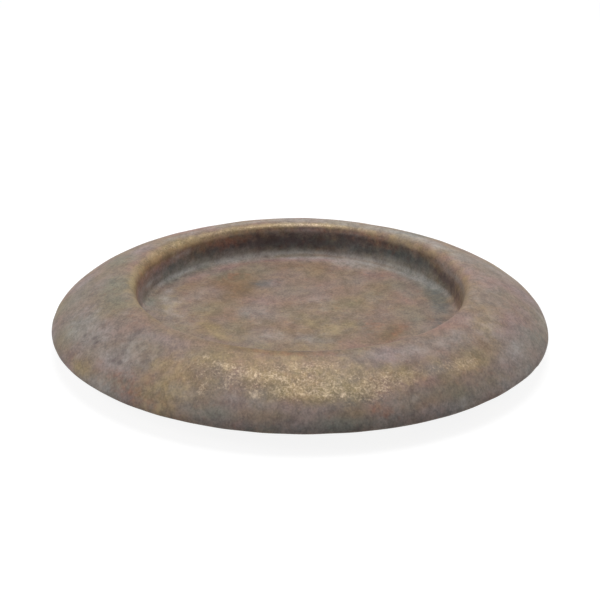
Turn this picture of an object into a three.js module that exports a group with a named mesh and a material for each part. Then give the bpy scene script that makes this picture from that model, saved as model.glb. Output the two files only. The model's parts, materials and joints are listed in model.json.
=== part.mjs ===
// Round candle plate: one thick cast earthenware dish with a broad rolled rim round a shallow candle recess,
// standing on felt pads that are stuck to its foot ring. Millimetres, +Z up, origin on the table under the centre.
import * as THREE from "three";

// Driving dimensions
const recessDiameter = 157.6; // mouth of the candle recess, wall to wall
const recessDepth = 16.5; // from the crest of the rim down to the recess floor
const rimWidth = 41.2; // from the recess wall out to the widest line of the plate
const lipWidth = 5.0; // from the recess wall out to the crest
const lipDrop = 5.2; // from the crest down to where the wall starts
const wallDraft = 1.4; // the wall leans in by this much on its way down
const coveRadius = 3.0; // inside corner between wall and floor
const floorThickness = 8.5; // clay under the candle
const undersideRelief = 3.0; // hollow of the underside inside the foot ring
const reliefDraft = 2.0; // the foot ring's inner edge slopes by this much
const shoulderHeight = 7.6; // height of the widest line above the foot
const footUndercut = 31.2; // from the widest line in to the foot's outer edge
const padDiameter = 14.0;
const padThickness = 2.0;
const padEdge = 0.3; // bevel of the cut felt edge
const padMargin = 2.0; // flat clay left round a pad on the foot ring

// How strongly each stretch of the rim's outer section bends, as a share of that stretch
const flareFullness = 0.3; // from the foot out to the widest line
const shoulderFullness = 0.28; // where the slope leaves the widest line
const crestFullness = 0.38; // where the slope levels out at the crest

// Facets
const turnSteps = 88;
const flareSteps = 9;
const slopeSteps = 12;
const lipSteps = 7;
const coveSteps = 5;
const padTurnSteps = 32;

// Places worked out from the dimensions
const mouthRadius = recessDiameter / 2;
const crestRadius = mouthRadius + lipWidth;
const widestRadius = mouthRadius + rimWidth;
const footOuterRadius = widestRadius - footUndercut;
const footInnerRadius = footOuterRadius - padDiameter - 2 * padMargin;
const padCircleRadius = footOuterRadius - padMargin - padDiameter / 2;

const footHeight = padThickness;
const undersideHeight = footHeight + undersideRelief;
const floorHeight = undersideHeight + floorThickness;
const crestHeight = floorHeight + recessDepth;
const widestHeight = footHeight + shoulderHeight;

const agedBronzeClay = new THREE.MeshStandardMaterial({ color: "#8f7f6f", roughness: 0.6, metalness: 0.25 });
const greyFelt = new THREE.MeshStandardMaterial({ color: "#4a4744", roughness: 0.95, metalness: 0 });

const at = (radius, height) => new THREE.Vector2(radius, height);

// Half section of the dish, from the middle of its underside, out round the rim and back in to the recess floor.
function dishSection() {
  // The undercut flares out from the foot and turns upright at the widest line.
  const flare = new THREE.CubicBezierCurve(
    at(footOuterRadius, footHeight),
    at(footOuterRadius + flareFullness * footUndercut, footHeight),
    at(widestRadius, widestHeight - flareFullness * shoulderHeight),
    at(widestRadius, widestHeight),
  );
  // The long slope runs up and in, and lies level at the crest.
  const slope = new THREE.CubicBezierCurve(
    at(widestRadius, widestHeight),
    at(widestRadius, widestHeight + shoulderFullness * (crestHeight - widestHeight)),
    at(crestRadius + crestFullness * (widestRadius - crestRadius), crestHeight),
    at(crestRadius, crestHeight),
  );
  // The lip is a quarter of an ellipse that ends upright at the top of the wall.
  const lip = new THREE.EllipseCurve(
    crestRadius, crestHeight - lipDrop, lipWidth, lipDrop, Math.PI / 2, Math.PI,
  );
  // The cove is a quarter of a circle from the foot of the wall to the floor.
  const cove = new THREE.EllipseCurve(
    mouthRadius - wallDraft - coveRadius, floorHeight + coveRadius, coveRadius, coveRadius, 0, -Math.PI / 2, true,
  );
  return [
    at(0, undersideHeight),
    at(footInnerRadius - reliefDraft, undersideHeight),
    at(footInnerRadius, footHeight),
    ...flare.getPoints(flareSteps),
    ...slope.getPoints(slopeSteps).slice(1),
    ...lip.getPoints(lipSteps).slice(1),
    ...cove.getPoints(coveSteps),
    at(0, floorHeight),
  ];
}

// Half section of a felt pad: a flat disc with its cut edge eased.
function padSection() {
  const radius = padDiameter / 2;
  return [
    at(0, 0),
    at(radius - padEdge, 0),
    at(radius, padEdge),
    at(radius, padThickness - padEdge),
    at(radius - padEdge, padThickness),
    at(0, padThickness),
  ];
}

// A section turned about the upright axis.
function turned(section, steps) {
  return new THREE.LatheGeometry(section, steps).rotateX(Math.PI / 2);
}

const candlePlate = new THREE.Group();

const dish = new THREE.Mesh(turned(dishSection(), turnSteps), agedBronzeClay);
dish.name = "plate_body";
candlePlate.add(dish);

const padPlaces = ["back_right", "back_left", "front_left", "front_right"];
padPlaces.forEach((place, index) => {
  const pad = new THREE.Mesh(turned(padSection(), padTurnSteps), greyFelt);
  const angle = ((index + 0.5) / padPlaces.length) * 2 * Math.PI;
  pad.name = `felt_pad_${place}`;
  pad.position.set(padCircleRadius * Math.cos(angle), padCircleRadius * Math.sin(angle), 0);
  candlePlate.add(pad);
});

export default candlePlate;
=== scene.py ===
"""Candle plate: the looks of a low round candle plate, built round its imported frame.

The dish is cast earthenware under an aged bronze and gold wash, and it stands on felt pads. Every size is in
metres in the frame of the solids: +Z up, the table at zero, the plate's axis through the origin and -Y to the
viewer.
"""

import json
import math
from typing import NamedTuple

import bpy
import numpy as np
from mathutils import Matrix, Vector


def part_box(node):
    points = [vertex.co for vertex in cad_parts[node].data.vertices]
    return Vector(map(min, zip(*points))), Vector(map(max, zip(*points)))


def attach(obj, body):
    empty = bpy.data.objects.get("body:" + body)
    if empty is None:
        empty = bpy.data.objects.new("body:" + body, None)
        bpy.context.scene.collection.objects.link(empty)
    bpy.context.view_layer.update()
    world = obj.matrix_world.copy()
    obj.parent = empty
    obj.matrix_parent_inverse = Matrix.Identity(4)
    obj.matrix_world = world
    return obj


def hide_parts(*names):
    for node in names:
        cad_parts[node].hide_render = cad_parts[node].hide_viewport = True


bl_info = {
    "name": "Candle Plate",
    "version": (1, 0, 0),
    "blender": (4, 5, 0),
    "location": "3D View > Sidebar > Candle Plate",
    "description": "Builds a low round candle plate in aged bronze over clay, on felt pads",
    "category": "Object",
}

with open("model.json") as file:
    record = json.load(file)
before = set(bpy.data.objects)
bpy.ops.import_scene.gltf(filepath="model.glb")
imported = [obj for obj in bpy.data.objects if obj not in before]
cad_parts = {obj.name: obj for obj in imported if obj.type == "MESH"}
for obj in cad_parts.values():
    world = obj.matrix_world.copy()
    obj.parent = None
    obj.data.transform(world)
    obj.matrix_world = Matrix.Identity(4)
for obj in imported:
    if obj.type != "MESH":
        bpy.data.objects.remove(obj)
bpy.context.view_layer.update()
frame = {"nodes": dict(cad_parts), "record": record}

MM = 0.001
BODY = "root"
DISH_NODE = "plate_body"
PAD_NODES = sorted(name for name in frame["nodes"] if name.startswith("felt_pad_"))
DISH_LOW, DISH_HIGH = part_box(DISH_NODE)
PAD_LOW, PAD_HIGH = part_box(PAD_NODES[0])
MOUNT_PLACES = {mount["name"]: mount["pos_m"] for mount in frame["record"]["mounts"]}


def linear(hex_colour):
    """Scene-linear red, green and blue of an sRGB hex colour."""
    srgb = np.array([int(hex_colour[i:i + 2], 16) for i in (1, 3, 5)]) / 255
    return tuple(np.where(srgb <= 0.04045, srgb / 12.92, ((srgb + 0.055) / 1.055) ** 2.4).tolist())


def length(name, description, default):
    """A size that a user may change, in metres."""
    return bpy.props.FloatProperty(
        name=name, description=description, default=default, min=0.0, precision=5,
        subtype="DISTANCE", unit="LENGTH",
    )


def colour(name, description, hex_colour):
    """A colour that a user may change, given as sRGB hex."""
    return bpy.props.FloatVectorProperty(
        name=name, description=description, default=linear(hex_colour), min=0.0, max=1.0, size=3,
        subtype="COLOR",
    )


def share(name, description, default):
    """A part of a whole that a user may change, from 0 to 1."""
    return bpy.props.FloatProperty(
        name=name, description=description, default=default, min=0.0, max=1.0, subtype="FACTOR"
    )


def angle(name, description, degrees):
    """An angle that a user may change, given in degrees."""
    return bpy.props.FloatProperty(
        name=name, description=description, default=math.radians(degrees), subtype="ANGLE", unit="ROTATION"
    )


def power(name, description, watts):
    """A light's power that a user may change, in watts."""
    return bpy.props.FloatProperty(name=name, description=description, default=watts, min=0.0, unit="POWER")


class CANDLEPLATE_PG_dish(bpy.types.PropertyGroup):
    """Sizes of the cast dish."""

    widest_radius: length("Widest radius", "Axis to the widest line of the rim", DISH_HIGH.x)
    crest_height: length("Crest height", "Table to the crest of the rim", DISH_HIGH.z)
    foot_height: length("Foot height", "Table to the flat of the foot ring", DISH_LOW.z)
    floor_height: length("Floor height", "Table to the recess floor", MOUNT_PLACES["candle_seat"][2])
    mouth_radius: length("Mouth radius", "Axis to the top of the recess wall", 78.8 * MM)
    lip_width: length("Lip width", "Recess wall out to the crest", 5.0 * MM)
    lip_drop: length("Lip drop", "Crest down to the top of the wall", 5.2 * MM)
    wall_draft: length("Wall draft", "How far the wall leans in on its way down", 1.4 * MM)
    cove_radius: length("Cove radius", "Inside corner between wall and floor", 3.0 * MM)
    shoulder_height: length("Shoulder height", "Foot up to the widest line", 7.6 * MM)
    foot_undercut: length("Foot undercut", "Widest line in to the foot ring", 31.2 * MM)
    foot_width: length("Foot width", "Flat of the foot ring", 18.0 * MM)
    relief: length("Underside relief", "Hollow of the underside inside the foot ring", 3.0 * MM)
    relief_draft: length("Relief draft", "Slope of the foot ring's inner edge", 2.0 * MM)
    flare_fullness: share("Flare fullness", "How strongly the undercut bends", 0.3)
    shoulder_fullness: share("Shoulder fullness", "How upright the slope leaves the widest line", 0.28)
    crest_fullness: share("Crest fullness", "How level the slope reaches the crest", 0.38)
    swell: length("Swell", "Unevenness of the casting over a hand's width", 0.2 * MM)
    dimple: length("Dimple", "Unevenness of the casting over a finger's width", 0.05 * MM)


class CANDLEPLATE_PG_pads(bpy.types.PropertyGroup):
    """Sizes of the felt pads."""

    radius: length("Pad radius", "Cut radius of a felt pad", (PAD_HIGH.x - PAD_LOW.x) / 2)
    thickness: length("Pad thickness", "Felt between table and foot ring", PAD_HIGH.z - PAD_LOW.z)
    edge: length("Edge round", "Round of the cut felt edge", 0.55 * MM)
    fuzz: length("Fuzz", "How far loose fibres roughen the cut edge", 0.08 * MM)


class CANDLEPLATE_PG_colours(bpy.types.PropertyGroup):
    """Colours of the washes on the clay and of the felt."""

    taupe: colour("Taupe", "The brown-grey wash over most of the clay", "#867158")
    mauve: colour("Mauve", "The pinker cloudy tone in that wash", "#877162")
    rose: colour("Rose", "Pinkish brown clouds where the wash is thin", "#956f6c")
    olive: colour("Olive", "Greenish brown clouds where the wash is thick", "#7d7a5c")
    ochre: colour("Ochre", "Warm yellow-brown stains", "#715631")
    lilac: colour("Lilac", "Cold grey bloom", "#90878a")
    verdigris: colour("Verdigris", "Grey-green bloom in corners and runs", "#748077")
    # Slate also stands for painted shade on the wall and low on and under the rim
    slate: colour("Slate", "Dark grey wash left on the wall and low on the rim", "#50595b")
    # Umber also stands for painted shade under the far lip, along the near lip, in dents and scores, and
    # partly on the wall
    umber: colour("Umber", "Dark brown wash left in creases and blow holes", "#4b3a3c")
    rust: colour("Rust", "Red-brown stains, most of them at the top of the wall", "#935d45")
    # Chalk also stands for painted light at the foot of the wall and just under the lip
    chalk: colour("Chalk", "Pale bloom, thickest along the foot of the wall", "#b8b6b3")
    gold: colour("Gold", "Olive gold rubbed over the high places", "#a08c60")
    # The pale flecks stand partly for painted highlight: the beaded line along the far lip and the crowd on
    # the near slope
    fleck: colour("Gold fleck", "Pale bright flecks of leaf gold", "#dcc5aa")
    felt: colour("Felt", "Grey wool felt", "#4a4744")


class CANDLEPLATE_PG_stage(bpy.types.PropertyGroup):
    """Camera and light."""

    elevation: angle("Elevation", "Camera's height above the horizon", 22.6)
    roll: angle("Roll", "Tilt of the camera about its line of sight", 0.62)
    distance: length("Distance", "Camera to the point that it looks at", 720 * MM)
    aim_height: length("Aim height", "Height of the point that the camera looks at", 19.4 * MM)
    lens: bpy.props.FloatProperty(
        name="Lens", description="Focal length on a 36 mm frame", default=89.0, min=1.0, unit="CAMERA"
    )
    top_width: length("Top light width", "Side of the square light overhead", 700 * MM)
    top_height: length("Top light height", "Table to the light overhead", 950 * MM)
    top_back: length("Top light setback", "How far the light overhead hangs behind the plate", 300 * MM)
    top_power: power("Top light power", "Power of the light overhead", 6.7)
    side_width: length("Side light width", "Side of each square light at the side", 600 * MM)
    side_height: length("Side light height", "Table to the middle of a side light", 500 * MM)
    side_out: length("Side light distance", "Plate out to a side light", 800 * MM)
    side_turn: length("Side light shift", "How far the left light is forward, the right one back", 250 * MM)
    left_power: power("Left light power", "Power of the light at the left", 2.2)
    right_power: power("Right light power", "Power of the light at the right", 1.5)
    ambient: share("Ambient", "Strength of the even light from all round", 0.12)


class CANDLEPLATE_PG_all(bpy.types.PropertyGroup):
    """Everything that can be set on the candle plate."""

    dish: bpy.props.PointerProperty(type=CANDLEPLATE_PG_dish, name="Dish", description="Sizes of the dish")
    pads: bpy.props.PointerProperty(type=CANDLEPLATE_PG_pads, name="Pads", description="Sizes of the pads")
    colours: bpy.props.PointerProperty(type=CANDLEPLATE_PG_colours, name="Colours", description="Colours")
    stage: bpy.props.PointerProperty(type=CANDLEPLATE_PG_stage, name="Stage", description="Camera and light")


# Columns round the plate, and how far apart the rows of each stretch of the section are
DISH_COLUMNS = 560
PAD_COLUMNS = 96
FINE = 0.45 * MM
MIDDLING = 0.85 * MM
BROAD = 1.9 * MM
COARSE = 6.0 * MM
PAD_EDGE_ROWS = 5
PAD_FACE_ROWS = 10
CURVE_POINTS = 200  # on a curve before it is cut into rows
ARC_POINTS = 100


class Patch(NamedTuple):
    """A stained or rubbed area of the dish, fading out from its middle."""

    angle: float  # degrees round the plate, 0 to the right and -90 to the front
    down: float  # millimetres along the section from the crest, outwards, or into the recess where negative
    along: float  # half length round the plate, millimetres
    across: float  # half width along the section, millimetres
    strength: float  # percent at its middle


ALL_ROUND = 2000  # half length of a stain right round the plate, millimetres

# The stains of each finish, from the middle of the floor outwards; some are painted highlight, painted shade
# and painted light, as said at each finish. Along the section the floor lies at -95 to -21, the cove from
# there to -16.5, the wall to -8, the lip to 0, the slope to 43 and the undercut to 76.
PATCHES = {
    # Olive gold rubbed on the lip, over the near slope and in stray places all round
    "gold": (
        Patch(-75, -83, 11, 8, 30), Patch(-44, -68, 14, 8, 65), Patch(-82, -50, 24, 5, 45),
        Patch(-156, -48, 18, 4, 55), Patch(-143, -47, 14, 6, 35), Patch(178, -32, 16, 7, 60),
        Patch(4, -12, 16, 5, 40), Patch(149, -6.5, 9, 2, 60), Patch(-90, -5.2, 75, 1.6, 70),
        Patch(48, -5, 34, 2.6, 60), Patch(140, -4.6, 46, 3.4, 90), Patch(5, -4, 40, 2.5, 40),
        Patch(176, -4, 40, 3.8, 80), Patch(95, -3, 54, 1.7, 90), Patch(20, -2, 14, 3, 30),
        Patch(46, 0, 16, 3, 40), Patch(-105, 0.5, 12, 3, 45), Patch(-84, 7, 14, 4, 40),
        Patch(-105, 9, 22, 6, 35), Patch(-27, 12, 15, 7, 55), Patch(-92, 14, 30, 9, 55),
        Patch(70, 19, 34, 10, 60), Patch(-124, 21, 9, 6, 55), Patch(-82, 22, 30, 9, 52),
        Patch(-64, 22, 24, 8, 35), Patch(-46, 24, 16, 5, 60), Patch(-90, 25.5, 22, 5, 60),
        Patch(112, 26, 24, 7, 60), Patch(22, 27, 14, 7, 50), Patch(-120, 30, 14, 16, 65),
        Patch(150, 33, 12, 6, 50), Patch(-146, 39.5, 11, 4, 70),
    ),
    # Flecks of leaf gold, in a beaded line along the far lip, and thick on the near and far slopes; the
    # beaded line along the far lip is painted highlight of the light overhead on the crest, and the thick
    # flecks on the near slope are partly painted highlight where that light glints
    "fleck": (
        Patch(143, -3.4, 36, 2, 40), Patch(88, -3.2, 18, 0.7, 45), Patch(92, -3.1, 54, 1.1, 60),
        Patch(-86, 10, 18, 4, 40), Patch(-115, 10.6, 2.2, 1.4, 65), Patch(-109, 14.1, 5, 1.2, 55),
        Patch(-104, 15, 26, 7, 32), Patch(-97, 16.2, 2.6, 1.3, 65), Patch(-100.5, 17, 2.2, 1.6, 60),
        Patch(-104, 17.2, 3, 1.2, 45), Patch(-94, 17.8, 3.4, 1.3, 60), Patch(70, 19, 34, 10, 50),
        Patch(-90, 21, 22, 9, 34), Patch(-52, 21, 12, 5, 36), Patch(76, 21, 3, 1.6, 90),
        Patch(-66, 22, 18, 8, 40), Patch(92, 22, 24, 7, 40), Patch(-115, 23, 20, 13, 25),
        Patch(-107, 23, 1.5, 3, 60), Patch(-78, 23, 20, 8, 32), Patch(-46, 24, 10, 4, 40),
        Patch(64, 24, 1.8, 1.4, 90), Patch(-87, 25, 9, 4, 30), Patch(112, 25, 20, 6, 46),
        Patch(-97, 25.5, 14, 4, 35), Patch(-84, 26.3, 1.6, 1.2, 90), Patch(-80, 26.8, 1.8, 1.2, 90),
        Patch(-100, 27.7, 1.6, 1.2, 90), Patch(-112, 28.5, 1.5, 4.5, 60), Patch(-74, 28.5, 8, 4, 40),
    ),
    # Verdigris round the edge of the floor, in the cove, on the lower wall, and in runs on the slope
    "verdigris": (
        Patch(-172, -69, 10, 5, 40), Patch(-12, -38, 12, 5, 50), Patch(23, -37, 13, 6, 90),
        Patch(8, -27, 16, 6, 90), Patch(28, -21.5, 26, 5, 100), Patch(172, -21.5, 9, 2.5, 60),
        Patch(142, -17.5, 40, 4, 80), Patch(70, -15, 14, 4, 70), Patch(40, -14, 36, 4, 70),
        Patch(-174, 10, 30, 12, 60), Patch(160, 12, 12, 10, 50), Patch(2, 13, 12, 6, 50),
        Patch(48, 14, 10, 12, 60), Patch(-138, 18, 8, 12, 80), Patch(-55, 22, 8, 4, 50),
        Patch(178, 30, 40, 10, 50), Patch(-60, 31, 8, 4, 50), Patch(95, 36, 22, 6, 70),
        Patch(-46, 36.5, 22, 6, 60), Patch(-108, 37, 12, 4, 90), Patch(-10, 38, 40, 7, 40),
        Patch(-82, 40, 20, 4, 90), Patch(-96, 41.5, 18, 3, 70),
    ),
    # Slate on the wall and beside its right end, low on the rim, and all round under it; on the wall and low
    # on and under the rim it is partly painted shade, where those faces turn from the light overhead
    "slate": (
        Patch(117.5, -54, 8, 6, 60), Patch(-11, -28, 10, 5, 50), Patch(12, -25.5, 16, 5, 60),
        Patch(22, -24.5, 9, 2.5, 45), Patch(24, -20.5, 14, 3, 40), Patch(148, -13.3, 10, 1.6, 50),
        Patch(92, -12.6, 56, 4, 100), Patch(-90, -12.5, 78, 4, 90), Patch(136, -12.5, 24, 3, 25),
        Patch(45, -11.8, 23, 3.6, 85), Patch(76, -9.6, 16, 1.8, 40), Patch(70, -7, 10, 1.4, 60),
        Patch(109, -6.3, 14, 1.3, 40), Patch(-110, 23, 8, 5, 20), Patch(-80, 30, 11, 5, 40),
        Patch(-125, 38, 9, 3, 20), Patch(90, 41, 90, 5, 60), Patch(-91, 42, 44, 4, 30),
        Patch(-62, 42, 16, 4, 30), Patch(-90, 64, ALL_ROUND, 15, 80),
    ),
    # Umber on the wall, in the corner at its foot and along the lip; the band just under the far lip and the
    # line along the near lip's visible edge are painted shade, and on the wall it is partly painted shade
    "umber": (
        Patch(159, -87, 10, 8, 18), Patch(100, -25, 9, 2.5, 20), Patch(148, -21.6, 18, 1.6, 50),
        Patch(164, -21, 8, 1.2, 50), Patch(-86, -20.6, 75, 1.1, 35), Patch(98, -20.3, 14, 1.1, 25),
        Patch(7, -17, 14, 3, 30), Patch(22, -13, 15, 2.4, 85), Patch(12, -12, 26, 5, 45),
        Patch(92, -12, 70, 4, 45), Patch(99, -11.5, 22, 4, 70), Patch(-96, -10.5, 75, 4, 50),
        # Patch(92, -4.8) is painted shade just under the far lip, and Patch(-85, -1) painted shade along the
        # near lip's visible edge
        Patch(64, -8.2, 26, 1.5, 60), Patch(92, -4.8, 60, 0.8, 80), Patch(-85, -1, 50, 1.2, 40),
        Patch(-90, 41, 70, 5, 15),
    ),
    # Rust along the top of the wall, and in spots on the floor and low on the slope
    "rust": (
        Patch(-29, -56, 10, 6, 40), Patch(-25, -43, 9, 2.5, 50), Patch(128, -38, 9, 5, 45),
        Patch(180, -12, 10, 6, 30), Patch(120, -11.4, 10, 1.8, 40), Patch(56, -10, 10, 2, 25),
        Patch(120, -9.4, 8, 2.2, 70), Patch(-58, -9, 16, 2.2, 60), Patch(-112, -8.6, 24, 2, 50),
        Patch(160, -8, 46, 3, 45), Patch(16, -7.4, 20, 1.8, 40), Patch(146, -7.4, 16, 2.2, 50),
        Patch(163, -7.2, 16, 2.6, 75), Patch(90, -6, 40, 1.5, 30), Patch(66, -5, 16, 1.8, 20),
        Patch(157, -4.5, 26, 2.2, 35), Patch(-90, 2, 22, 2.2, 45), Patch(-132, 33, 9, 5, 35),
        Patch(-72.5, 35, 8, 4, 40), Patch(128, 36, 14, 4, 50), Patch(-127, 39, 14, 4, 50),
    ),
    # Chalk along the foot of the wall, and a breath of it all over; along the foot of the wall and just under
    # the lip it is partly painted light that lifts the shade there
    "chalk": (
        Patch(-80, -83, 11, 8, 20), Patch(51, -80, 12, 8, 30), Patch(-88, -64, 28, 9, 40),
        Patch(25, -54, 12, 8, 30), Patch(156, -40, 10, 6, 25), Patch(-174, -33, 24, 10, 45),
        Patch(62, -32, 12, 5, 35), Patch(168, -29, 10, 4, 35), Patch(72, -27, 20, 4, 40),
        Patch(63, -25.5, 16, 3.5, 35), Patch(162, -24.8, 12, 2.5, 35), Patch(90, -23.4, 50, 2, 50),
        Patch(39, -22, 12, 1.6, 60), Patch(60, -21.8, 20, 1.7, 75), Patch(81, -21.8, 12, 1.5, 50),
        Patch(70, -21, 8, 1.3, 40), Patch(111, -21, 9, 2.2, 35), Patch(29, -19.5, 14, 2.2, 50),
        Patch(116, -19.5, 20, 2.2, 60), Patch(19, -18.6, 10, 1.5, 40), Patch(144, -18.3, 18, 1.3, 60),
        Patch(56, -18, 30, 1.5, 70), Patch(148, -18, 9, 1, 50), Patch(-92, -17.8, 75, 1.8, 70),
        Patch(94, -17.6, 52, 1.7, 85), Patch(71, -17, 10, 2.5, 50), Patch(139, -17, 10, 1.6, 40),
        Patch(56, -16, 14, 2.5, 40), Patch(140, -16, 40, 3, 30), Patch(33, -15, 9, 3, 35),
        Patch(50, -15, 14, 2.5, 35), Patch(115, -14.5, 14, 3, 30), Patch(163, -13.9, 10, 1.2, 50),
        Patch(180, -13, 10, 6, 35), Patch(142, -9, 14, 2, 60), Patch(164, -8.4, 12, 2.6, 50),
        Patch(14, -7.6, 24, 2, 65), Patch(148, -6.8, 10, 1.6, 50), Patch(24, -4.5, 18, 4, 20),
        Patch(72, -1.5, 22, 2, 55), Patch(46, 0.5, 20, 3, 30), Patch(62, 1.5, 50, 3, 20),
        Patch(142, 2, 16, 3, 30), Patch(90, 3, 80, 4, 50), Patch(34, 4, 24, 5, 55),
        Patch(-153, 9, 9, 6, 25), Patch(-65, 9.5, 16, 5, 35), Patch(-46, 10, 24, 7, 40),
        Patch(-4, 10, 44, 16, 28), Patch(-29, 15, 14, 8, 35), Patch(17, 16, 12, 7, 30),
        Patch(-158, 20, 18, 8, 45), Patch(-135, 21, 22, 8, 40), Patch(171, 25, 12, 7, 30),
        Patch(-101, 29, 14, 5, 45), Patch(-152, 30, 30, 10, 20), Patch(-138, 30, 14, 5, 40),
        Patch(-117, 30, 14, 6, 40), Patch(-29, 31, 16, 7, 45), Patch(-159, 32, 10, 6, 40),
        Patch(-68, 33, 20, 6, 30), Patch(-5, 36, 14, 5, 30), Patch(-112, 38.5, 10, 4, 30),
        Patch(-136, 41, 18, 4, 50), Patch(-33, 41, 16, 4, 40), Patch(-55, 41.5, 16, 4, 50),
        Patch(-41, 41.5, 12, 4, 35),
    ),
    # Ochre on the floor, and in places along the lip
    "ochre": (
        Patch(-60, -80, 14, 8, 40), Patch(80, -70, 120, 34, 20), Patch(-52, -67, 17, 10, 90),
        Patch(153, -57, 9, 6, 60), Patch(135, -53, 11, 8, 95), Patch(-146, -49, 18, 7, 65),
        Patch(-32, -45, 15, 6, 90), Patch(129, -41, 13, 10, 100), Patch(102, -37, 14, 9, 50),
        Patch(160, -5.4, 22, 2, 65), Patch(4, -3.5, 14, 2, 45), Patch(-92, 0.5, 40, 2.5, 45),
        Patch(-104, 0.8, 16, 3, 60),
    ),
    # Rose clouds round the edge of the floor, on the wall and lip, and on the slope
    "rose": (
        Patch(178, -37, 16, 8, 60), Patch(61, -32, 14, 5, 50), Patch(43, -26, 14, 4, 70),
        Patch(134, -26, 14, 4, 70), Patch(94, -25, 36, 2.6, 90), Patch(54, -21.5, 12, 2.5, 30),
        Patch(120, -11.2, 10, 2, 70), Patch(166, -9, 30, 4, 60), Patch(165, -8.6, 12, 3, 60),
        Patch(145, -8.2, 14, 3, 80), Patch(128, -5.9, 16, 2.5, 60), Patch(64, -4.5, 40, 3, 60),
        Patch(17, -3.5, 22, 3.5, 90), Patch(167, 0, 10, 4, 50), Patch(-149, 1, 10, 4, 60),
        Patch(-151, 5, 10, 5, 70), Patch(-128, 8, 12, 5, 60), Patch(-66, 9, 20, 5, 65),
        Patch(-42, 12, 16, 7, 60), Patch(-8, 12, 40, 16, 40), Patch(130, 12, 30, 10, 50),
        Patch(-179, 14, 12, 6, 50), Patch(-150, 14, 9, 6, 80), Patch(-25, 24, 16, 9, 75),
        Patch(-63, 27, 12, 5, 60), Patch(-92, 30, 26, 4, 70), Patch(-140, 33, 8, 5, 60),
        Patch(-110, 36, 8, 3, 80), Patch(-23, 38, 14, 7, 80), Patch(-53, 41, 12, 3, 60),
        Patch(-102, 41.5, 12, 3, 70),
    ),
    # Olive clouds on the floor and the near slope
    "olive": (
        Patch(-112, -88, 14, 8, 50), Patch(-60, -80, 16, 8, 70), Patch(-87, 13, 10, 4, 50),
        Patch(-130, 36, 10, 5, 60),
    ),
    # Lilac bloom in spots on the floor, on the wall and lip, on the slope and low on the rim
    "lilac": (
        Patch(-166, -76, 10, 7, 100), Patch(-171, -70, 11, 6, 100), Patch(119, -57, 10, 6, 80),
        Patch(156, -25, 12, 3, 50), Patch(45, -20.5, 24, 3, 80), Patch(148, -14, 44, 4.5, 90),
        Patch(60, -12.4, 12, 2.5, 80), Patch(139, -7.6, 9, 1.6, 80), Patch(90, -7.2, 50, 1.8, 80),
        Patch(-66, 4, 18, 4, 25), Patch(153, 7, 14, 6, 60), Patch(-133, 8.5, 14, 7, 95),
        Patch(-56, 21, 8, 4, 60), Patch(12, 21, 16, 8, 50), Patch(-160, 22, 44, 16, 35),
        Patch(-14, 26, 40, 14, 50), Patch(-140, 27, 9, 6, 65), Patch(174, 28, 20, 8, 70),
        Patch(6, 29, 14, 8, 60), Patch(-33, 31, 14, 7, 70), Patch(-90, 33, 50, 4, 50),
        Patch(30, 36, 24, 8, 50), Patch(-88, 41, 70, 4, 80), Patch(-65, 41, 20, 4, 70),
        Patch(-134, 41.5, 14, 3, 55), Patch(-160, 42, 60, 3, 50), Patch(-20, 42, 60, 3, 50),
    ),
}


class Dent(NamedTuple):
    """A small blow hole in the casting, or a blob on it where the depth is negative."""

    angle: float  # degrees round the plate
    down: float  # millimetres along the section from the crest
    radius: float  # millimetres
    depth: float  # millimetres


DENTS = (
    Dent(-154, 27, 1.1, 0.14),
    Dent(-150, 25, 1.4, 0.2),
    Dent(-148, 25.8, 1.2, 0.2),
    Dent(-147, 28, 1.1, 0.14),
    Dent(-138, 28, 1.3, 0.2),
    Dent(-136, 27.8, 1.3, 0.2),
    Dent(104, -20, 1.1, 0.16),
    Dent(109, -80, 1.1, 0.08),
    Dent(-50, 33, 1.1, 0.14),
    Dent(35, 12, 1.2, 0.16),
    Dent(80, 24, 1.3, 0.2),
    Dent(125, 18, 1.2, 0.16),
    Dent(150, 33, 1.3, 0.2),
    Dent(42, 5, 1.3, -0.3),
    Dent(-25, 42, 1.3, -0.3),
)


class Score(NamedTuple):
    """A shallow scored line, straight on the unrolled slope."""

    start: tuple  # degrees round the plate, and millimetres along the section from the crest
    end: tuple
    width: float  # millimetres
    depth: float  # millimetres


SCORES = (
    Score((-141, 6), (-137, 27), 1.6, 0.07),
    Score((64, 8), (76, 26), 1.3, 0.12),
)
SCORE_RADIUS = 100 * MM  # radius at which the slope is unrolled for them
FULL_CREASE = 0.16 * MM  # a dent or score this deep gets the most painted shade

# The casting's unevenness, and the stretch of the undercut on which it fades out towards the flat foot
SWELL_LENGTH = 85 * MM
SWELL_SEED = 20
DIMPLE_LENGTH = 15 * MM
DIMPLE_SEED = 5
UNEVEN_TO = 50 * MM
EVEN_FROM = 75 * MM

FUZZ = ((0.6, 1.1 * MM, 11), (0.4, 0.5 * MM, 12))  # share, length and seed of the roughness of a pad's edge

# Waves in a random field, and the spread of their lengths about the one asked for
WAVES = 24
SHORTEST = 0.7
LONGEST = 1.4


def line(start, end):
    """Straight stretch from start to end."""
    return np.array([start, end], float)


def cubic(start, lead, tail, end):
    """Cubic Bezier curve: (1-t)^3 start + 3(1-t)^2 t lead + 3(1-t) t^2 tail + t^3 end, for t from 0 to 1."""
    t = np.linspace(0, 1, CURVE_POINTS)
    weights = np.stack([(1 - t) ** 3, 3 * (1 - t) ** 2 * t, 3 * (1 - t) * t ** 2, t ** 3], 1)
    return weights @ np.array([start, lead, tail, end], float)


def quarter(middle, across, up, first, last):
    """Quarter of an ellipse: middle + (across cos a, up sin a), for a from first to last quarter turn."""
    a = np.linspace(first, last, ARC_POINTS) * np.pi / 2
    return np.stack([middle[0] + across * np.cos(a), middle[1] + up * np.sin(a)], 1)


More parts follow.
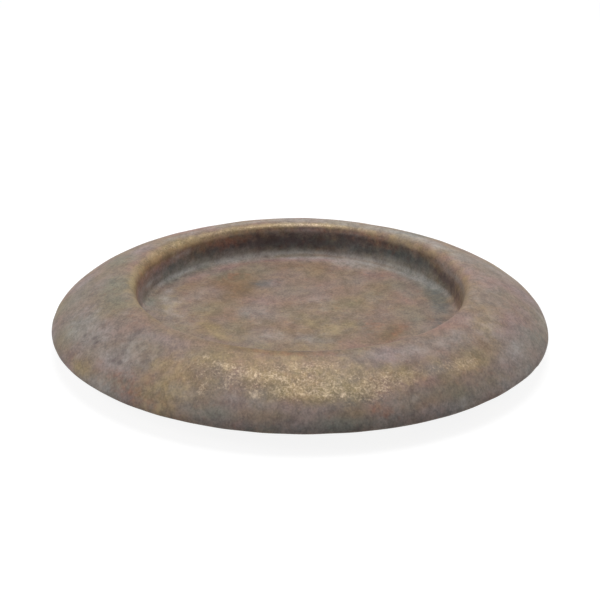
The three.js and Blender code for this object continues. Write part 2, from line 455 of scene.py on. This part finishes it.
def travelled(curve):
    """Distance along a curve from its start to each of its points."""
    return np.concatenate([[0], np.cumsum(np.linalg.norm(np.diff(curve, axis=0), axis=1))])


def spaced(curve, spacing):
    """The curve's points taken again at even steps of about that length, without its last point."""
    run = travelled(curve)
    steps = max(2, round(run[-1] / spacing))
    at = np.linspace(0, run[-1], steps + 1)[:-1]
    return np.stack([np.interp(at, run, curve[:, 0]), np.interp(at, run, curve[:, 1])], 1)


def dish_section(dish):
    """Half section of the dish as radius and height, from the middle of its underside to that of its floor.

    The underside steps down to the foot ring in an S, the undercut flares out to the widest line, the long
    slope climbs in to the level crest, the lip is a quarter ellipse, the wall leans in, and the cove is a
    quarter circle. Also gives each point's distance along the section from the crest, outwards positive.
    """
    crest = dish.mouth_radius + dish.lip_width
    widest_height = dish.foot_height + dish.shoulder_height
    foot_outer = dish.widest_radius - dish.foot_undercut
    foot_inner = foot_outer - dish.foot_width
    under = dish.foot_height + dish.relief
    step_start = foot_inner - dish.relief_draft
    step_middle = foot_inner - dish.relief_draft / 2
    wall_top = dish.crest_height - dish.lip_drop
    wall_foot = dish.mouth_radius - dish.wall_draft
    cove_middle = (wall_foot - dish.cove_radius, dish.floor_height + dish.cove_radius)
    climb = dish.crest_height - widest_height
    reach = dish.widest_radius - crest
    step = cubic(
        (step_start, under),
        (step_middle, under),
        (step_middle, dish.foot_height),
        (foot_inner, dish.foot_height),
    )
    flare = cubic(
        (foot_outer, dish.foot_height),
        (foot_outer + dish.flare_fullness * dish.foot_undercut, dish.foot_height),
        (dish.widest_radius, widest_height - dish.flare_fullness * dish.shoulder_height),
        (dish.widest_radius, widest_height),
    )
    slope = cubic(
        (dish.widest_radius, widest_height),
        (dish.widest_radius, widest_height + dish.shoulder_fullness * climb),
        (crest + dish.crest_fullness * reach, dish.crest_height),
        (crest, dish.crest_height),
    )
    outside = np.concatenate([
        spaced(line((0, under), (step_start, under)), COARSE),
        spaced(step, FINE),
        spaced(line((foot_inner, dish.foot_height), (foot_outer, dish.foot_height)), BROAD),
        spaced(flare, BROAD),
        spaced(slope, MIDDLING),
    ])
    inside = np.concatenate([
        spaced(quarter((crest, wall_top), dish.lip_width, dish.lip_drop, 1, 2), FINE),
        spaced(line((dish.mouth_radius, wall_top), (wall_foot, cove_middle[1])), MIDDLING),
        spaced(quarter(cove_middle, dish.cove_radius, dish.cove_radius, 0, -1), FINE),
        spaced(line((cove_middle[0], dish.floor_height), (0, dish.floor_height)), BROAD),
        [(0, dish.floor_height)],
    ])
    section = np.concatenate([outside, inside])
    run = travelled(section)
    return section, run[len(outside)] - run


def turned(section, columns):
    """A section turned about the axis, (r cos a, r sin a, z) on a grid of rows by columns, and the angles."""
    angles = np.linspace(-np.pi, np.pi, columns, endpoint=False)
    radius = section[:, :1]
    height = np.repeat(section[:, 1:], columns, axis=1)
    return np.stack([radius * np.cos(angles), radius * np.sin(angles), height], -1), angles


def turned_normals(section, angles):
    """Outward unit normals of a turned section: the section's direction turned a quarter to its right."""
    direction = np.gradient(section, axis=0)
    direction /= np.linalg.norm(direction, axis=1, keepdims=True)
    outward = direction[:, 1:]
    upward = np.repeat(-direction[:, :1], len(angles), axis=1)
    return np.stack([outward * np.cos(angles), outward * np.sin(angles), upward], -1)


def ripple(points, wavelength, seed):
    """Smooth seeded field of spread 1: the sum of plane waves cos(k.p + phase) of about that length."""
    draw = np.random.default_rng(seed)
    heading = draw.normal(size=(3, WAVES))
    heading /= np.linalg.norm(heading, axis=0)
    number = 2 * np.pi / (wavelength * draw.uniform(SHORTEST, LONGEST, WAVES))
    phase = draw.uniform(0, 2 * np.pi, WAVES)
    return np.sqrt(2 / WAVES) * np.cos(points @ (heading * number) + phase).sum(-1)


def smooth_step(low, high, value):
    """0 below low, 1 above high and 3t^2 - 2t^3 between."""
    t = np.clip((value - low) / (high - low), 0, 1)
    return t * t * (3 - 2 * t)


def turn_from(angles, degrees):
    """How far each angle is turned from one in degrees, the shorter way round, in radians."""
    return np.mod(angles - math.radians(degrees) + np.pi, 2 * np.pi) - np.pi


def spot(angles, radius, down, place, along, across):
    """Bell of height 1 about a place in degrees and mm: exp(-(arc / along)^2 - (section run / across)^2)."""
    arc = radius * turn_from(angles, place[0])
    return np.exp(-((arc / (along * MM)) ** 2) - ((down - place[1] * MM) / (across * MM)) ** 2)


def groove(angles, down, score):
    """Groove of depth 1: exp(-(distance / width)^2) sin(pi t)^(1/2), for t along the line from 0 to 1."""
    sideways = SCORE_RADIUS * turn_from(angles, score.start[0])
    downward = down - score.start[1] * MM
    run_side = SCORE_RADIUS * math.radians(score.end[0] - score.start[0])
    run_down = (score.end[1] - score.start[1]) * MM
    run = math.hypot(run_side, run_down)
    t = np.clip((sideways * run_side + downward * run_down) / run ** 2, 0, 1)
    distance = np.hypot(sideways - t * run_side, downward - t * run_down)
    return np.exp(-((distance / (score.width * MM)) ** 2)) * np.sqrt(np.sin(np.pi * t))


def dish_surface(dish):
    """The uneven dish: the turned section moved along its normals by swells, dimples, dents and scores.

    Also gives what the finish reads at each point: the share of each wash, and how deep a dent or score is.
    """
    section, down = dish_section(dish)
    points, angles = turned(section, DISH_COLUMNS)
    normals = turned_normals(section, angles)
    shape = points.shape[:2]
    radius = section[:, :1]
    down = down[:, None]
    sunk = np.zeros(shape)
    for dent in DENTS:
        place = (dent.angle, dent.down)
        sunk += dent.depth * MM * spot(angles, radius, down, place, dent.radius, dent.radius)
    for score in SCORES:
        sunk += score.depth * MM * groove(angles, down, score)
    above_foot = 1 - smooth_step(UNEVEN_TO, EVEN_FROM, down)
    swells = dish.swell * ripple(points, SWELL_LENGTH, SWELL_SEED)
    dimples = dish.dimple * ripple(points, DIMPLE_LENGTH, DIMPLE_SEED)
    # How deep each dent or score is, for the painted shade in it
    values = {"crease": np.clip(sunk / FULL_CREASE, 0, 1)}
    for finish, patches in PATCHES.items():
        bare = np.ones(shape)
        for patch in patches:
            place = (patch.angle, patch.down)
            stain = spot(angles, radius, down, place, patch.along, patch.across)
            bare *= 1 - patch.strength / 100 * stain
        values[finish] = 1 - bare
    return points + ((swells + dimples - sunk) * above_foot)[..., None] * normals, values


def pad_surface(pads, place):
    """A felt disc: flat faces, an edge rounded by quarter circles, and fibres that roughen the cut edge.

    The section runs from the middle of the lower face round the edge to the middle of the upper face.
    """
    high = pads.thickness
    inner = pads.radius - pads.edge - pads.fuzz
    outer = inner + pads.edge
    rim_step = pads.edge / PAD_EDGE_ROWS
    face_step = pads.radius / PAD_FACE_ROWS
    section = np.concatenate([
        spaced(line((0, 0), (inner, 0)), face_step),
        spaced(quarter((inner, pads.edge), pads.edge, pads.edge, -1, 0), rim_step),
        spaced(line((outer, pads.edge), (outer, high - pads.edge)), rim_step),
        spaced(quarter((inner, high - pads.edge), pads.edge, pads.edge, 0, 1), rim_step),
        spaced(line((inner, high), (0, high)), face_step),
        [(0, high)],
    ])
    points, angles = turned(section, PAD_COLUMNS)
    points = points + np.array(place)
    rim = smooth_step(inner - pads.edge, outer - pads.edge / 2, section[:, :1])
    out = np.stack([np.cos(angles), np.sin(angles), np.zeros_like(angles)], -1)
    rough = pads.fuzz * sum(part * ripple(points, size, seed) for part, size, seed in FUZZ)
    return points + (rim * np.clip(rough, -pads.fuzz, pads.fuzz))[..., None] * out


def mesh_piece(name, points, material, values=None):
    """A closed smooth mesh from a turned grid. Its first and last rows lie on the axis and become points."""
    rows, columns = points.shape[:2]
    tip = 1 + columns * (rows - 2)
    ring = np.arange(columns)
    after = np.roll(ring, -1)
    starts = 1 + columns * np.arange(rows - 3)[:, None]
    quads = np.stack([starts + ring, starts + after, starts + columns + after, starts + columns + ring], -1)
    first = np.stack([np.zeros_like(ring), 1 + after, 1 + ring], -1)
    last_ring = tip - columns
    last = np.stack([np.full_like(ring, tip), last_ring + ring, last_ring + after], -1)

    def joined(grid):
        """The grid's values in the order of the vertices."""
        return np.concatenate([grid[0, :1], grid[1:-1].reshape(-1, *grid.shape[2:]), grid[-1, :1]])

    mesh = bpy.data.meshes.new(name)
    faces = quads.reshape(-1, 4).tolist() + first.tolist() + last.tolist()
    mesh.from_pydata(joined(points).tolist(), [], faces)
    mesh.polygons.foreach_set("use_smooth", np.ones(len(mesh.polygons), bool))
    for label, grid in (values or {}).items():
        attribute = mesh.attributes.new(label, "FLOAT", "POINT")
        attribute.data.foreach_set("value", joined(grid).astype(np.float32))
    mesh.materials.append(material)
    mesh.update()
    piece = bpy.data.objects.new(name, mesh)
    bpy.context.scene.collection.objects.link(piece)
    return piece


def add_node(tree, kind, inputs=None, **settings):
    """Adds a node with its settings. An input given a socket is linked, and any other is set to the value."""
    node = tree.nodes.new(kind)
    for name, value in settings.items():
        setattr(node, name, value)
    for key, value in (inputs or {}).items():
        if isinstance(value, bpy.types.NodeSocket):
            tree.links.new(value, node.inputs[key])
        else:
            node.inputs[key].default_value = value
    return node


# Places of the colour sockets and of the number sockets on a mix node
FACTOR, FIRST, SECOND, MIXED = 0, 6, 7, 2
FIRST_NUMBER, SECOND_NUMBER, MIXED_NUMBER = 2, 3, 0


def new_material(name):
    """An empty node material, its tree and its surface socket."""
    material = bpy.data.materials.new(name)
    material.use_nodes = True
    tree = material.node_tree
    tree.nodes.clear()
    output = add_node(tree, "ShaderNodeOutputMaterial")
    return material, tree, output.inputs["Surface"]


class Wash(NamedTuple):
    """How one wash lies on the clay."""

    finish: str
    everywhere: float  # share of it all over the plate, besides its patches
    grain: float  # size of its clouds and breaks, millimetres
    detail: float  # how many times those are broken again at half the size
    ragged: float  # how strongly they break it up
    cover: float  # how much it hides of what is under it where it is thickest
    metallic: float
    roughness: float


WASHES = (
    Wash("rose", 0.2, 20.0, 0.5, 1.8, 0.65, 0.1, 0.6),
    Wash("olive", 0.12, 20.0, 0.5, 1.8, 0.65, 0.1, 0.6),
    Wash("lilac", 0.06, 22.0, 0.0, 1.6, 0.5, 0.05, 0.65),
    Wash("ochre", 0.0, 9.0, 1.0, 0.6, 0.7, 0.1, 0.6),
    Wash("verdigris", 0.06, 22.0, 0.0, 1.6, 0.5, 0.0, 0.7),
    # Slate is partly painted shade on the wall and low on and under the rim
    Wash("slate", 0.0, 4.0, 4.0, 1.5, 0.8, 0.0, 0.65),
    # Umber is painted shade under the far lip, along the near lip and in dents and scores, and partly on the
    # wall
    Wash("umber", 0.0, 3.0, 4.0, 2.0, 0.8, 0.0, 0.65),
    Wash("rust", 0.0, 3.0, 3.0, 1.8, 0.7, 0.1, 0.6),
    # Chalk is partly painted light at the foot of the wall and just under the lip
    Wash("chalk", 0.0, 6.0, 2.0, 0.8, 0.6, 0.0, 0.75),
    Wash("gold", 0.0, 6.0, 3.0, 1.5, 0.6, 0.35, 0.5),
)

# The clay's own wash under them, and the size of the clouds in which it drifts between its two tones
BARE_METALLIC = 0.1
BARE_ROUGHNESS = 0.6
DRIFT = 26 * MM

# Flecks: their size, that of the clusters in which they gather, how much clusters and patches add to the
# chance of one, the chances from which it shows and is thickest, and how it looks
FLECK = 1.0 * MM
CLUSTER = 5.0 * MM
CLUSTER_WEIGHT = 0.15
PATCH_WEIGHT = 0.6
SHOWS_FROM = 0.75
THICKEST_FROM = 1.27
FLECK_COVER = 0.6
FLECK_METALLIC = 0.5
FLECK_ROUGHNESS = 0.45

# Mottle and sand over all of it, drawn out front to back as the washes were wiped on
MOTTLE = 5.0 * MM
SAND = 0.9 * MM
SAND_WEIGHT = 0.5
WIPED = (1.0, 0.7, 1.0)

DEEPEST_CREASE_SHADE = 0.6  # how far the painted shade darkens the deepest dents and scores
FIBRE = 0.6 * MM  # real ones are far finer, but would not show


class Coat(NamedTuple):
    """The finish so far: what its colour, metallic share and roughness sockets give."""

    tint: object
    metallic: object
    roughness: object


def laid_over(tree, under, cover, tint, metallic, roughness):
    """A coat with another paint over it, as thick as the cover socket says."""
    colour_mix = add_node(
        tree, "ShaderNodeMix", {FACTOR: cover, FIRST: under.tint, SECOND: (*tint, 1)}, data_type="RGBA"
    )
    mixed = []
    for lower, upper in ((under.metallic, metallic), (under.roughness, roughness)):
        mix = add_node(tree, "ShaderNodeMix", {FACTOR: cover, FIRST_NUMBER: lower, SECOND_NUMBER: upper})
        mixed.append(mix.outputs[MIXED_NUMBER])
    return Coat(colour_mix.outputs[MIXED], *mixed)


def wash_cover(tree, wash, place, seed):
    """How thick a wash lies: much where its share at the place and its own clouds add up to much."""
    amount = add_node(tree, "ShaderNodeAttribute", attribute_name=wash.finish)
    clouds = add_node(
        tree, "ShaderNodeTexNoise",
        {"Vector": place, "W": float(seed), "Scale": 1 / (wash.grain * MM), "Detail": wash.detail,
         "Roughness": 0.6},
        noise_dimensions="4D",
    )
    thickness = add_node(
        tree, "ShaderNodeMath",
        {0: clouds.outputs["Fac"], 1: wash.ragged, 2: amount.outputs["Fac"]},
        operation="MULTIPLY_ADD",
    )
    thinnest = wash.ragged / 2 - wash.everywhere
    cover = add_node(
        tree, "ShaderNodeMapRange",
        {"Value": thickness.outputs["Value"], "From Min": thinnest, "From Max": thinnest + 1,
         "To Max": wash.cover},
        interpolation_type="SMOOTHSTEP",
    )
    return cover.outputs["Result"]


def fleck_and_glint_cover(tree, place):
    """How far flecks hide what is under them: soft grains that gather in clusters."""
    amount = add_node(tree, "ShaderNodeAttribute", attribute_name="fleck")
    grains = add_node(
        tree, "ShaderNodeTexNoise",
        {"Vector": place, "Scale": 1 / FLECK, "Detail": 1.5, "Roughness": 0.5, "Distortion": 0.6},
    )
    clusters = add_node(
        tree, "ShaderNodeTexNoise", {"Vector": place, "Scale": 1 / CLUSTER, "Detail": 2.0, "Roughness": 0.5}
    )
    # The patches crowd the flecks along the far lip and on the near slope, where they are partly painted
    # highlight
    chance = grains.outputs["Fac"]
    for field, weight in ((clusters, CLUSTER_WEIGHT), (amount, PATCH_WEIGHT)):
        inputs = {0: field.outputs["Fac"], 1: weight, 2: chance}
        chance = add_node(tree, "ShaderNodeMath", inputs, operation="MULTIPLY_ADD").outputs["Value"]
    cover = add_node(
        tree, "ShaderNodeMapRange",
        {"Value": chance, "From Min": SHOWS_FROM, "From Max": THICKEST_FROM, "To Max": FLECK_COVER},
        interpolation_type="SMOOTHSTEP",
    )
    return cover.outputs["Result"]


def aged_bronze_clay(colours):
    """Cast earthenware under sponged bronze and gold washes, rubbed back and aged.

    To the eye it is a cloudy satin brown-grey: matt and darker where dark wash lies on the wall and low on
    the rim, partly painted shade there, and painted shade in dents and scores; faintly metallic where gold is
    rubbed over high places, with pale flecks that glint, partly painted highlight along the far lip and on
    the near slope; and a fine sandy grain from the mould.
    """
    material, tree, surface = new_material("aged_bronze_clay")
    place = add_node(tree, "ShaderNodeTexCoord").outputs["Object"]
    drift = add_node(
        tree, "ShaderNodeTexNoise", {"Vector": place, "Scale": 1 / DRIFT, "Detail": 2.0, "Roughness": 0.5}
    )
    tone = add_node(
        tree, "ShaderNodeMapRange",
        {"Value": drift.outputs["Fac"], "From Min": 0.38, "From Max": 0.62},
        interpolation_type="SMOOTHSTEP",
    )
    base = add_node(
        tree, "ShaderNodeMix",
        {FACTOR: tone.outputs["Result"], FIRST: (*colours.taupe, 1), SECOND: (*colours.mauve, 1)},
        data_type="RGBA",
    )
    coat = Coat(base.outputs[MIXED], BARE_METALLIC, BARE_ROUGHNESS)
    for seed, wash in enumerate(WASHES):
        cover = wash_cover(tree, wash, place, seed)
        coat = laid_over(tree, coat, cover, getattr(colours, wash.finish), wash.metallic, wash.roughness)
    # Pale flecks, partly painted highlight along the far lip and on the near slope
    flecks = fleck_and_glint_cover(tree, place)
    coat = laid_over(tree, coat, flecks, colours.fleck, FLECK_METALLIC, FLECK_ROUGHNESS)
    drawn = add_node(tree, "ShaderNodeMapping", {"Vector": place, "Scale": WIPED})
    mottle = add_node(
        tree, "ShaderNodeTexNoise",
        {"Vector": drawn.outputs["Vector"], "Scale": 1 / MOTTLE, "Detail": 3.0, "Roughness": 0.72,
         "Distortion": 0.25},
    )
    sand = add_node(
        tree, "ShaderNodeTexNoise",
        {"Vector": drawn.outputs["Vector"], "Scale": 1 / SAND, "Detail": 1.0, "Roughness": 0.5},
    )
    grain = add_node(
        tree, "ShaderNodeMath",
        {0: sand.outputs["Fac"], 1: SAND_WEIGHT, 2: mottle.outputs["Fac"]},
        operation="MULTIPLY_ADD",
    )
    shade = add_node(
        tree, "ShaderNodeMapRange",
        {"Value": grain.outputs["Value"], "From Min": 0.57, "From Max": 0.93, "To Min": 0.75, "To Max": 1.25},
    )
    mottled = add_node(
        tree, "ShaderNodeMix",
        {FACTOR: 1.0, FIRST: coat.tint, SECOND: shade.outputs["Result"]},
        data_type="RGBA", blend_type="MULTIPLY",
    )
    # Painted shade in blow holes and scored lines: the deeper, the darker.
    crease = add_node(tree, "ShaderNodeAttribute", attribute_name="crease")
    crease_shade_amount = add_node(tree, "ShaderNodeMapRange", {"Value": crease.outputs["Fac"], "To Max": DEEPEST_CREASE_SHADE})
    crease_shaded = add_node(
        tree, "ShaderNodeMix",
        {FACTOR: crease_shade_amount.outputs["Result"], FIRST: mottled.outputs[MIXED], SECOND: (*colours.umber, 1)},
        data_type="RGBA",
    )
    bump = add_node(
        tree, "ShaderNodeBump", {"Height": mottle.outputs["Fac"], "Strength": 0.5, "Distance": 0.3 * MM}
    )
    shader = add_node(
        tree, "ShaderNodeBsdfPrincipled",
        {"Base Color": crease_shaded.outputs[MIXED], "Metallic": coat.metallic, "Roughness": coat.roughness,
         "Specular IOR Level": 0.35, "Normal": bump.outputs["Normal"]},
    )
    tree.links.new(shader.outputs["BSDF"], surface)
    return material


def grey_felt(colours):
    """Pressed wool felt, die cut: matt, soft at the edge, mottled by lighter and darker short fibres."""
    material, tree, surface = new_material("grey_felt")
    place = add_node(tree, "ShaderNodeTexCoord").outputs["Object"]
    fibre = add_node(
        tree, "ShaderNodeTexNoise",
        {"Vector": place, "Scale": 1 / FIBRE, "Detail": 4.0, "Roughness": 0.7, "Distortion": 1.5},
    )
    shade = add_node(
        tree, "ShaderNodeMapRange",
        {"Value": fibre.outputs["Fac"], "From Min": 0.3, "From Max": 0.7, "To Min": 0.6, "To Max": 1.5},
    )
    mottled = add_node(
        tree, "ShaderNodeMix",
        {FACTOR: 1.0, FIRST: (*colours.felt, 1), SECOND: shade.outputs["Result"]},
        data_type="RGBA", blend_type="MULTIPLY",
    )
    bump = add_node(
        tree, "ShaderNodeBump", {"Height": fibre.outputs["Fac"], "Strength": 0.7, "Distance": 0.2 * MM}
    )
    shader = add_node(
        tree, "ShaderNodeBsdfPrincipled",
        {"Base Color": mottled.outputs[MIXED], "Roughness": 0.95, "Sheen Weight": 0.3,
         "Normal": bump.outputs["Normal"]},
    )
    tree.links.new(shader.outputs["BSDF"], surface)
    return material


def seen_directly(tree):
    """Socket that is 1 for rays that show the background: straight, mirrored or through glass."""
    path = add_node(tree, "ShaderNodeLightPath")
    shown = path.outputs["Is Camera Ray"]
    for kind in ("Is Glossy Ray", "Is Transmission Ray"):
        inputs = {0: shown, 1: path.outputs[kind]}
        shown = add_node(tree, "ShaderNodeMath", inputs, operation="MAXIMUM").outputs["Value"]
    return shown


# The paper's grey in the light it throws back, and the glow and grey that show it white with a faint shadow
PAPER_GREY = 0.6
SHOWN_GLOW = 0.88
SHOWN_GREY = 0.25


def white_paper():
    """Seamless white paper: matt, shown as white with the plate's soft shadow kept on it."""
    material, tree, surface = new_material("white_paper")
    paper = add_node(tree, "ShaderNodeBsdfDiffuse", {"Color": (PAPER_GREY, PAPER_GREY, PAPER_GREY, 1)})
    shadowed = add_node(tree, "ShaderNodeBsdfDiffuse", {"Color": (SHOWN_GREY, SHOWN_GREY, SHOWN_GREY, 1)})
    glow = add_node(tree, "ShaderNodeEmission", {"Color": (1, 1, 1, 1), "Strength": SHOWN_GLOW})
    shown = add_node(tree, "ShaderNodeAddShader", {0: shadowed.outputs["BSDF"], 1: glow.outputs["Emission"]})
    mixed = add_node(
        tree, "ShaderNodeMixShader",
        {0: seen_directly(tree), 1: paper.outputs["BSDF"], 2: shown.outputs["Shader"]},
    )
    tree.links.new(mixed.outputs["Shader"], surface)
    return material


class CANDLEPLATE_OT_dish(bpy.types.Operator):
    """Build the cast dish with its washes"""

    bl_idname = "candle_plate.dish"
    bl_label = "Cast Dish"

    def execute(self, context):
        settings = context.scene.candle_plate
        points, values = dish_surface(settings.dish)
        piece = mesh_piece("cast_dish", points, aged_bronze_clay(settings.colours), values)
        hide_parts(DISH_NODE)
        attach(piece, BODY)
        return {"FINISHED"}


class CANDLEPLATE_OT_pads(bpy.types.Operator):
    """Build the felt pads under the foot ring"""

    bl_idname = "candle_plate.pads"
    bl_label = "Felt Pads"

    def execute(self, context):
        settings = context.scene.candle_plate
        felt = grey_felt(settings.colours)
        for node in PAD_NODES:
            low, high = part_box(node)
            place = ((low.x + high.x) / 2, (low.y + high.y) / 2, low.z)
            piece = mesh_piece(node.replace("felt_pad", "felt_disc"), pad_surface(settings.pads, place), felt)
            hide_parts(node)
            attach(piece, BODY)
        return {"FINISHED"}


FLOOR_HALF = 4.0  # metres from the plate to the paper's edge
FLOOR_DROP = 0.1 * MM  # the paper lies this far under the pads
SENSOR_WIDTH = 36.0  # millimetres
CLIP_START = 10 * MM


class CANDLEPLATE_OT_stage(bpy.types.Operator):
    """Set up the floor, lights and camera"""

    bl_idname = "candle_plate.stage"
    bl_label = "Stage"

    def execute(self, context):
        scene = context.scene
        stage = scene.candle_plate.stage
        scene.view_settings.view_transform = "Standard"
        self.lay_floor(scene)
        self.hang_lights(scene, stage)
        self.brighten_room(scene, stage)
        self.aim_camera(scene, stage)
        return {"FINISHED"}

    def lay_floor(self, scene):
        """A flat square of white paper just under the pads: corners at plus and minus its half width."""
        corners = FLOOR_HALF * np.array([(-1, -1), (1, -1), (1, 1), (-1, 1)])
        vertices = np.column_stack([corners, np.full(4, -FLOOR_DROP)])
        mesh = bpy.data.meshes.new("paper_floor")
        mesh.from_pydata(vertices.tolist(), [], [(0, 1, 2, 3)])
        mesh.materials.append(white_paper())
        floor = bpy.data.objects.new("paper_floor", mesh)
        scene.collection.objects.link(floor)

    def hang_lights(self, scene, stage):
        """A large soft light overhead and a little behind, and a dimmer one at each side."""
        left = Vector((-stage.side_out, -stage.side_turn, stage.side_height))
        right = Vector((stage.side_out, stage.side_turn, stage.side_height))
        top = Vector((0, stage.top_back, stage.top_height))
        for name, place, width, watts in (
            ("top_light", top, stage.top_width, stage.top_power),
            ("left_light", left, stage.side_width, stage.left_power),
            ("right_light", right, stage.side_width, stage.right_power),
        ):
            lamp = bpy.data.lights.new(name, "AREA")
            lamp.shape = "SQUARE"
            lamp.size = width
            lamp.energy = watts
            light = bpy.data.objects.new(name, lamp)
            light.location = place
            light.rotation_euler = place.to_track_quat("Z", "Y").to_euler()
            scene.collection.objects.link(light)

    def brighten_room(self, scene, stage):
        """A white room that throws an even dim light."""
        world = bpy.data.worlds.new("white_room")
        world.use_nodes = True
        tree = world.node_tree
        tree.nodes.clear()
        strength = add_node(
            tree, "ShaderNodeMapRange", {"Value": seen_directly(tree), "To Min": stage.ambient, "To Max": 1.0}
        )
        room = add_node(
            tree, "ShaderNodeBackground", {"Color": (1, 1, 1, 1), "Strength": strength.outputs["Result"]}
        )
        add_node(tree, "ShaderNodeOutputWorld", {"Surface": room.outputs["Background"]})
        scene.world = world

    def aim_camera(self, scene, stage):
        """A camera in front of the plate, looking down along +Y, with a slight roll."""
        data = bpy.data.cameras.new("camera")
        data.lens = stage.lens
        data.sensor_width = SENSOR_WIDTH
        data.clip_start = CLIP_START
        camera = bpy.data.objects.new("camera", data)
        up = Vector((0, math.sin(stage.elevation), math.cos(stage.elevation)))
        back = Vector((0, -math.cos(stage.elevation), math.sin(stage.elevation)))
        right = Vector((1, 0, 0))
        rolled_right = math.cos(stage.roll) * right + math.sin(stage.roll) * up
        rolled_up = math.cos(stage.roll) * up - math.sin(stage.roll) * right
        aim = Vector((0, 0, stage.aim_height))
        turn = Matrix((rolled_right, rolled_up, back)).transposed()
        camera.matrix_world = Matrix.Translation(aim + stage.distance * back) @ turn.to_4x4()
        scene.collection.objects.link(camera)
        scene.camera = camera


class CANDLEPLATE_PT_sidebar(bpy.types.Panel):
    """Buttons and settings of the candle plate"""

    bl_idname = "CANDLEPLATE_PT_sidebar"
    bl_label = "Candle Plate"
    bl_space_type = "VIEW_3D"
    bl_region_type = "UI"
    bl_category = "Candle Plate"

    def draw(self, context):
        settings = context.scene.candle_plate
        for operator in OPERATORS:
            self.layout.operator(operator.bl_idname)
        for group in (settings.dish, settings.pads, settings.colours, settings.stage):
            column = self.layout.column(align=True)
            for name in group.__annotations__:
                column.prop(group, name)


OPERATORS = (CANDLEPLATE_OT_stage, CANDLEPLATE_OT_dish, CANDLEPLATE_OT_pads)
CLASSES = (
    CANDLEPLATE_PG_dish,
    CANDLEPLATE_PG_pads,
    CANDLEPLATE_PG_colours,
    CANDLEPLATE_PG_stage,
    CANDLEPLATE_PG_all,
    *OPERATORS,
    CANDLEPLATE_PT_sidebar,
)


def register():
    """Registers the classes and gives each scene its settings."""
    for cls in CLASSES:
        bpy.utils.register_class(cls)
    bpy.types.Scene.candle_plate = bpy.props.PointerProperty(type=CANDLEPLATE_PG_all)


def unregister():
    """Takes the settings and the classes away again."""
    del bpy.types.Scene.candle_plate
    for cls in reversed(CLASSES):
        bpy.utils.unregister_class(cls)


def main():
    """Builds the stage and every piece."""
    register()
    bpy.ops.candle_plate.stage()
    bpy.ops.candle_plate.dish()
    bpy.ops.candle_plate.pads()


if __name__ == "__main__":
    main()
